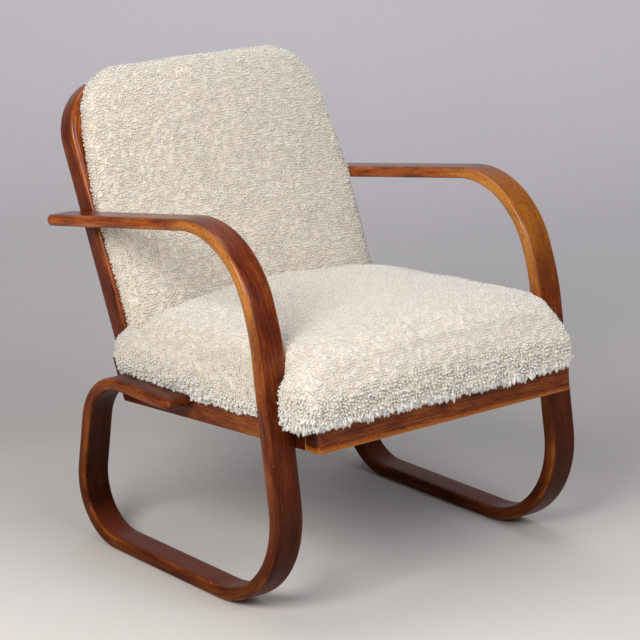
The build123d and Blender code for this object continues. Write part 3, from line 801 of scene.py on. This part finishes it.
def fleece(name, root, tip, warm):
    """Sheepskin wool: matt cream fibres with soft edges, painted greyer and warmer down between the curls as
    shade.

    Real fibres are about 0.03 mm thick; they are drawn at 1.1 mm so that they show.
    """
    material, tree, shader, place = new_material(name)
    patch_size = 60 * MM
    fibre_size = 1.1 * MM
    patches = add(tree, "TexNoise", place, named={"Scale": 1 / patch_size, "Detail": 3.0, "Roughness": 0.6})
    fibres = add(tree, "TexNoise", place, named={"Scale": 1 / fibre_size, "Detail": 2.0, "Roughness": 0.6})
    rise = add(tree, "Attribute", out="Fac", attribute_name="rise")
    tone = add(tree, "Attribute", out="Fac", attribute_name="tone")
    # Painted shade: the wool is greyer and warmer the lower it lies among the curls.
    wool = add(tree, "Mix", add(tree, "MapRange", rise, 0.0, 0.7), root, tip)
    vary = add(tree, "MapRange", add(tree, "Math", patches, tone), 0.5, 1.5, 0.0, 0.55)
    fill(shader, {
        "Base Color": add(tree, "Mix", vary, wool, warm),
        "Normal": add(tree, "Bump", named={"Height": fibres, "Strength": 0.4, "Distance": 0.5 * MM}),
        "Roughness": 0.95,
        "Specular IOR Level": 0.15,
        "Subsurface Weight": 0.8,
        "Subsurface Radius": (1.0, 0.85, 0.7),
        "Subsurface Scale": 4 * MM,
    })
    return material


def strand(name, line, girths, sides):
    """Round strand along a line, with how far it has risen at each point kept for its colour."""
    full_rise = 4 * MM
    line = [np.array(p) for p in line]
    vertices = []
    rises = []
    for r, (place, girth) in enumerate(zip(line, girths)):
        heading = line[min(r + 1, len(line) - 1)] - line[max(r - 1, 0)]
        heading /= np.linalg.norm(heading)
        side = np.cross(heading, (0.31, 0.87, 0.38))
        side /= np.linalg.norm(side)
        other = np.cross(heading, side)
        for k in range(sides):
            angle = 2 * pi * k / sides
            vertices.append(tuple(place + (side * cos(angle) + other * sin(angle)) * girth))
            rises.append(min(1.0, max(0.0, place[2] / full_rise)))
    mesh = ring_mesh(name, vertices, sides)
    store(mesh, "rise", rises)
    face_outwards(mesh)
    return mesh


def family_of(name, meshes):
    """Collection of shapes for planting, kept out of the scene."""
    family = bpy.data.collections.new(name)
    for mesh in meshes:
        family.objects.link(bpy.data.objects.new(mesh.name, mesh))
    return family


def curl(name, radius, thick, turn, drift):
    """Curl of wool: it rises from the skin, arches over and tucks its end back down beside its root."""
    rings = 4
    line = []
    girths = []
    for r in range(rings):
        share = r / (rings - 1)
        angle = -0.35 + turn * share
        line.append((-radius * cos(angle), drift * (share - 0.5), radius * sin(angle) + 0.8 * MM))
        girths.append(thick / 2 * (0.72 + 0.42 * sin(pi * min(1.0, share * 1.1))))
    return strand(name, line, girths, 4)


def curl_family(name, radius, radius_step, thick, turn, drift):
    """Five curls that differ a little in size, turn and drift."""
    curls = []
    for n in range(5):
        curls.append(curl(f"{name}_{n + 1}", (radius + radius_step * n) * MM, (thick - 0.06 * n) * MM,
                          turn + 0.25 * (n % 3), drift * (n - 2) * MM))
    return family_of(f"{name}s", curls)


def planting_tree():
    """Geometry nodes that plant locks of wool on a skin, by its stored density, lay, size and loft."""
    tree = bpy.data.node_groups.new("planted_wool", "GeometryNodeTree")
    for label, kind in (("Skin", "Geometry"), ("Locks", "Collection"), ("Where", "String"),
                        ("Spacing", "Float"), ("Scatter", "Float"), ("From", "Float"), ("To", "Float"),
                        ("Along", "Vector"), ("Seed", "Int"), ("Wool", "Material")):
        tree.interface.new_socket(label, in_out="INPUT", socket_type=f"NodeSocket{kind}")
    tree.interface.new_socket("Planted", in_out="OUTPUT", socket_type="NodeSocketGeometry")
    given = add(tree, "NodeGroupInput").node.outputs
    result = tree.nodes.new("NodeGroupOutput")
    seed = {"Seed": given["Seed"]}
    where = add(tree, "GeometryNodeInputNamedAttribute", given["Where"])
    lay = add(tree, "GeometryNodeInputNamedAttribute", "lay", data_type="FLOAT_VECTOR")
    size = add(tree, "GeometryNodeInputNamedAttribute", "size")
    loft = add(tree, "GeometryNodeInputNamedAttribute", "loft")
    area = add(tree, "Math.MULTIPLY", given["Spacing"], given["Spacing"])
    density = add(tree, "Math.DIVIDE", 4.0, area)
    planted = add(tree, "GeometryNodeDistributePointsOnFaces", named={
        "Mesh": given["Skin"], "Distance Min": given["Spacing"], "Density Max": density,
        "Density Factor": where, **seed}, distribute_method="POISSON").node
    kept = add(tree, "GeometryNodeCaptureAttribute", planted.outputs["Points"]).node
    kept.capture_items.new("VECTOR", "upright")
    fill(kept, {"upright": planted.outputs["Normal"]})
    place = add(tree, "GeometryNodeInputPosition")
    reach = add(tree, "VectorMath.DOT_PRODUCT", place, given["Along"])
    before = add(tree, "FunctionNodeCompare.LESS_THAN", reach, given["From"])
    after = add(tree, "FunctionNodeCompare.GREATER_EQUAL", reach, given["To"])
    outside = add(tree, "FunctionNodeBooleanMath.OR", before, after)
    zone = add(tree, "GeometryNodeDeleteGeometry", kept.outputs["Geometry"], outside, domain="POINT")
    stray = add(tree, "FunctionNodeRandomValue", (-1, -1, -1), (1, 1, 1), named=seed,
                data_type="FLOAT_VECTOR")
    strays = add(tree, "VectorMath.SCALE", stray, given["Scatter"])
    leaning = add(tree, "VectorMath", kept.outputs["upright"], lay)
    heading = add(tree, "VectorMath", leaning, strays)
    stand = add(tree, "FunctionNodeAlignRotationToVector", named={"Vector": heading}, axis="Z")
    spin = add(tree, "FunctionNodeRandomValue", 0.0, 2 * pi, named=seed)
    twist = add(tree, "FunctionNodeAxisAngleToRotation", (0, 0, 1), spin)
    turned = add(tree, "FunctionNodeRotateRotation", stand, twist, rotation_space="LOCAL")
    grow = add(tree, "FunctionNodeRandomValue", 0.8, 1.25, named=seed)
    scale = add(tree, "Math.MULTIPLY", grow, size)
    rise = add(tree, "Math.MULTIPLY", scale, loft)
    shapes = add(tree, "GeometryNodeCollectionInfo", named={
        "Collection": given["Locks"], "Separate Children": True, "Reset Children": True})
    copies = add(tree, "GeometryNodeInstanceOnPoints", named={
        "Points": zone, "Instance": shapes, "Pick Instance": True, "Rotation": turned,
        "Scale": add(tree, "CombineXYZ", scale, scale, rise)})
    shade = add(tree, "FunctionNodeRandomValue", named=seed)
    toned = add(tree, "GeometryNodeStoreNamedAttribute", copies, named={
        "Name": "tone", "Value": shade}, data_type="FLOAT", domain="INSTANCE")
    solid = add(tree, "GeometryNodeRealizeInstances", toned)
    dressed = add(tree, "GeometryNodeSetMaterial", solid, named={"Material": given["Wool"]})
    fill(result, {0: dressed})
    return tree


planted_wool = planting_tree()


def plant(name, pad, cuts, along, where, locks, spacing, scatter, seed, wool):
    """Locks planted on a pad by the node tree, as one plain mesh for each stretch between the cuts."""
    inputs = {"Where": where, "Locks": locks, "Spacing": spacing, "Scatter": scatter, "Seed": seed,
              "Wool": wool, "Along": along}
    for n, (start, end) in enumerate(zip(cuts, cuts[1:])):
        inputs["From"] = float(start)
        inputs["To"] = float(end)
        modifier = pad.modifiers.new("wool", "NODES")
        modifier.node_group = planted_wool
        for item in planted_wool.interface.items_tree:
            if item.in_out == "INPUT" and item.name in inputs:
                modifier[item.identifier] = inputs[item.name]
        mesh = evaluated_mesh(pad)
        pad.modifiers.clear()
        mesh.name = f"{name}_{n + 1}"
        planted = new_piece(mesh.name, mesh)
        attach(planted, "root")


def fit_to_hoop(pad):
    """Laps the sides of the back pad over the front of the hoop, and draws in its top corners."""
    places = places_of(pad.data).astype(float)
    up = (places - back_origin) @ back_up
    out = (places - back_origin) @ back_out
    side = ease(np.abs(places[:, 0]), 0.6 * hoop_half, 0.35 * hoop_half)
    front = ease(out - hoop_depth, -2 * MM, 4 * MM)
    foot = ease(up, 0.0, 60 * MM)
    corner = ease(up - hoop_top, -190 * MM, 120 * MM)
    shift = front * (side * foot * hoop_lap * (1 - corner) - side ** 2 * corner * corner_draw)
    places[:, 0] += np.sign(places[:, 0]) * shift
    move_to(pad.data, places)


def back_growth(places, normals):
    """Curls of the back are even and lie every way, a little downwards."""
    count = len(places)
    lay = np.tile((0.0, 0.0, -0.15), (count, 1))
    return lay, np.full(count, 1.0), np.full(count, 1.0), np.full(count, 0.35), np.zeros(count)


wool_tight = fleece("cream_fleece_tight_curls", "#dad1c1", "#fbf7ef", "#ece4d7")
skin = fleece("sheepskin_under_wool", "#ddd3c3", "#f1eae0", "#e6ddcf")
tight_curls = curl_family("tight_curl", 0.95, 0.12, 2.7, 3.9, 0.6)
fibre_girths = (0.22 * MM, 0.18 * MM, 0.06 * MM)
fibre_lines = [
    [(0, 0, 0), ((0.6 - n) * MM, 0.4 * n * MM, 4 * MM), (1.8 * MM, (1 - n) * MM, 7 * MM)] for n in range(3)
]
fine_fibres = family_of("fine_fibres", [
    strand(f"fine_fibre_{n + 1}", line, fibre_girths, 3) for n, line in enumerate(fibre_lines)
])
around_back = tree_of(hard_nodes + ["seat_fleece"])
back_pad = blown_pad("back_fleece_pad", ["back_fleece", "back_padding"], around_back, 5.5 * MM, 5 * MM)
fit_to_hoop(back_pad)
set_pile(back_pad, around_back, 3 * MM, back_growth)
back_pad.data.materials.append(skin)
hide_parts("back_fleece", "back_padding")
back_low, back_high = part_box("back_fleece")
cut_margin = 50 * MM
back_cuts = np.linspace(back_low.z - cut_margin, back_high.z + cut_margin, 4)
upwards = (0.0, 0.0, 1.0)
plant("back_curls", back_pad, back_cuts, upwards, "pile", tight_curls, 3.6 * MM, 0.6, 11, wool_tight)
plant("back_fibres", back_pad, back_cuts[::3], upwards, "fuzz", fine_fibres, 5.5 * MM, 0.9, 5, wool_tight)

# Seat pad: hair padding over the webbing, covered with cream sheepskin that wraps down over the rails.
# Sitting has pressed its top smooth; its front and sides keep loose clumps that end in hanging tufts.
# It is made as the back pad is: blown up as a closed skin, then planted with wool.
seat_low, seat_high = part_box("seat_fleece")
leg_front = 277 * MM
corner_bulge = 26 * MM
far_corner_draw = 20 * MM
far_corner_set_back = 6 * MM
rear_side_bulge = 5 * MM
rear_set_back = 6 * MM
skirt_drop = 6 * MM


def hang_skirt(pad):
    """Lets the seat pad bulge past the right leg, draws in its left front corner and hangs its skirt."""
    places = places_of(pad.data).astype(float)
    height = (places - rail_top_point) @ rail_top_normal
    ahead = to_origin - places[:, 1]
    side = ease(np.abs(places[:, 0]), 190 * MM, 60 * MM)
    past_leg = ease(ahead - leg_front, 5 * MM, 10 * MM)
    body = ease(height, -40 * MM, 20 * MM) * ease(height, 75 * MM, -40 * MM)
    behind = ease(ahead, 60 * MM, -80 * MM)
    skirt = ease(height, 20 * MM, -40 * MM)
    on_right = places[:, 0] < 0
    far_corner = ease(places[:, 0], 130 * MM, 120 * MM) * ease(ahead, 200 * MM, 140 * MM)
    bulge = on_right * past_leg * corner_bulge + behind * rear_side_bulge
    places[:, 0] += np.sign(places[:, 0]) * side * body * bulge
    places[:, 0] -= far_corner * far_corner_draw
    places[:, 1] += far_corner * far_corner_set_back
    places[:, 1] += behind * side * body * rear_set_back
    places[:, 2] -= skirt * np.maximum(0.15 + 0.85 * behind, 0.3 * side * past_leg) * skirt_drop
    move_to(pad.data, places)


def seat_growth(places, normals):
    """Short pressed curls on top of the seat; loose clumps that hang down its front and sides."""
    steep = np.clip(1 - normals[:, 2], 0.0, 1.0)
    height = (places - rail_top_point) @ rail_top_normal
    low = ease(height, 60 * MM, -50 * MM)
    ahead = ease(places[:, 1], seat_low.y + 120 * MM, -90 * MM)
    loose = steep * low * (0.45 + 0.55 * ahead)
    lay = np.stack([normals[:, 0] * 0.1, normals[:, 1] * 0.1, -0.4 * loose], axis=1)
    turned_under = ease(-normals[:, 2], 0.05, 0.3) * (normals[:, 2] > -0.92)
    fringe = turned_under * ease(height, 30 * MM, -15 * MM)
    lay[:, 2] -= 0.9 * fringe
    return lay, 0.85 + 0.25 * loose, 0.6 + 0.6 * loose, 0.25 + 0.8 * loose, fringe


def tuft(name, length, spread, bend):
    """Hanging tuft: three strands that start apart and close to one point."""
    girths = (1.7 * MM, 1.7 * MM, 1.2 * MM, 0.4 * MM)
    root_depth = 2 * MM
    tips = bmesh.new()
    for n in range(3):
        angle = 2 * pi * n / 3
        line = []
        for share in (0.0, 0.4, 0.75, 1.0):
            apart = spread * (1 - share ** 1.5)
            across = apart * cos(angle) + bend * share ** 2
            line.append((across, apart * sin(angle), length * share - root_depth))
        one = strand(f"{name}_strand", line, girths, 4)
        tips.from_mesh(one)
        bpy.data.meshes.remove(one)
    mesh = bpy.data.meshes.new(name)
    tips.to_mesh(mesh)
    tips.free()
    mesh.shade_smooth()
    return mesh


wool_loose = fleece("cream_fleece_loose_locks", "#ebe4d9", "#f9f5ed", "#ece5d9")
loose_locks = curl_family("loose_lock", 1.1, 0.15, 3.0, 3.7, 0.8)
hanging_tufts = family_of("hanging_tufts", [
    tuft(f"hanging_tuft_{n + 1}", (7 + 1.0 * n) * MM, (2.9 - 0.2 * n) * MM, (n - 1) * 1.5 * MM)
    for n in range(4)
])
around_seat = tree_of(hard_nodes + ["back_fleece"])
seat_pad = blown_pad("seat_fleece_pad", ["seat_fleece", "seat_padding"], around_seat, 4 * MM, 6 * MM)
hang_skirt(seat_pad)
set_pile(seat_pad, around_seat, 4 * MM, seat_growth)
seat_pad.data.materials.append(skin)
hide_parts("seat_fleece", "seat_padding")
seat_cuts = np.linspace(seat_low.y - cut_margin, seat_high.y + cut_margin, 5)
rearwards = (0.0, 1.0, 0.0)
plant("seat_locks", seat_pad, seat_cuts, rearwards, "pile", loose_locks, 3.9 * MM, 0.6, 23, wool_loose)
whole_seat = seat_cuts[::4]
plant("seat_tufts", seat_pad, whole_seat, rearwards, "fringe", hanging_tufts, 5.5 * MM, 0.5, 31, wool_loose)
plant("seat_fibres", seat_pad, whole_seat, rearwards, "fuzz", fine_fibres, 6.0 * MM, 0.9, 7, wool_loose)

# Stage: a pale floor that curves up into a backdrop, with light falloff painted into the paper, soft lamps
# round it, and the camera.
# None of it belongs to the chair.
camera_place = (-2.586, -3.188 + to_origin, 1.518)
camera_look = Vector((0.6094, 0.7443, -0.2733))
sweep_near = -6.0
sweep_far = 2.0
sweep_radius = 1.2
sweep_top = 7.0
half_sweep = 7.0
ground_half = 14.0
ground_depth = 2 * MM


def studio_paper(name):
    """Matt seamless paper with painted light falloff: pale at the front of the floor, darkest just behind
    the chair, paler again up the backdrop; from behind it is not seen.
    """
    material, tree, shader, place = new_material(name)
    split = add(tree, "SeparateXYZ", place).node.outputs
    run = add(tree, "MapRange", add(tree, "Math", split["X"], split["Z"]), -0.6, 3.4)
    mottle = add(tree, "TexNoise", place, named={"Scale": 3.0, "Detail": 4.0})
    share = add(tree, "Math", run, add(tree, "MapRange", mottle, 0.3, 0.7, -0.02, 0.02))
    # Painted light falloff: the paper is pale at the front of the floor, darkest just behind the chair and
    # paler again up the backdrop.
    paper_painted_light = add(tree, "ValToRGB", share, stops=[
        (0.02, "#dcd9d6"), (0.17, "#c8c5c2"), (0.28, "#b9b6b4"), (0.47, "#c1bfc1"), (0.65, "#cdcbcf"),
        (0.95, "#dddbe1")])
    fill(shader, {"Base Color": paper_painted_light, "Roughness": 0.7})
    behind = add(tree, "NewGeometry", out="Backfacing")
    one_sided = add(tree, "MixShader", behind, shader.outputs[0], add(tree, "BsdfTransparent"))
    fill(tree.nodes["Material Output"], {"Surface": one_sided})
    return material


sweep_profile = [(sweep_near, 0.0), (sweep_far, 0.0)]
for n in range(1, 13):
    angle = radians(90 * n / 12)
    sweep_profile.append((sweep_far + sweep_radius * sin(angle), sweep_radius * (1 - cos(angle))))
sweep_profile.append((sweep_far + sweep_radius, sweep_top))
paper_points = [(along, side * half_sweep, height) for along, height in sweep_profile for side in (-1, 1)]
paper_faces = [(2 * n + 2, 2 * n + 3, 2 * n + 1, 2 * n) for n in range(len(sweep_profile) - 1)]
paper_mesh = bpy.data.meshes.new("studio_sweep")
paper_mesh.from_pydata(paper_points, [], paper_faces)
paper_mesh.shade_smooth()
paper_mesh.materials.append(studio_paper("seamless_grey_paper"))
paper = new_piece("studio_sweep", paper_mesh)
paper.rotation_euler = (0, 0, -Vector((1, 0)).angle_signed(camera_look.to_2d()))
ground_points = [
    (x * ground_half, y * ground_half, -ground_depth) for x, y in ((-1, -1), (1, -1), (1, 1), (-1, 1))
]
ground_mesh = bpy.data.meshes.new("studio_ground")
ground_mesh.from_pydata(ground_points, [], [(0, 1, 2, 3)])
ground_mesh.materials.append(studio_paper("plain_grey_paper"))
new_piece("studio_ground", ground_mesh)

world = bpy.data.worlds.new("studio_air")
bpy.context.scene.world = world
world.use_nodes = True
fill(world.node_tree.nodes["Background"], {"Color": "#e6e8ee", "Strength": 0.14})
chair_middle = Vector((0.0, 0.0, 0.38))
lamps = [
    ("key_softbox", (-3.0, -1.3, 2.6), 2.0, 125.0, "#fffaf4"),
    ("front_fill", (0.2, -3.6, 3.0), 2.4, 70.0, "#fbfaff"),
    ("top_softbox", (0.3, 0.6, 3.4), 2.4, 28.0, "#ffffff"),
]
for name, place, size, power, colour in lamps:
    data = bpy.data.lights.new(name, "AREA")
    data.shape = "DISK"
    data.size = size
    data.energy = power
    data.color = linear(colour)[:3]
    lamp = new_piece(name, data)
    lamp.location = place
    lamp.rotation_euler = (chair_middle - Vector(place)).to_track_quat("-Z", "Y").to_euler()

camera_data = bpy.data.cameras.new("photo_camera")
camera_data.sensor_width = 36.0
camera_data.lens = 150.2
camera = new_piece("photo_camera", camera_data)
camera.location = camera_place
camera.rotation_euler = camera_look.to_track_quat("-Z", "Y").to_euler()
bpy.context.scene.camera = camera
bpy.context.scene.view_settings.view_transform = "Standard"
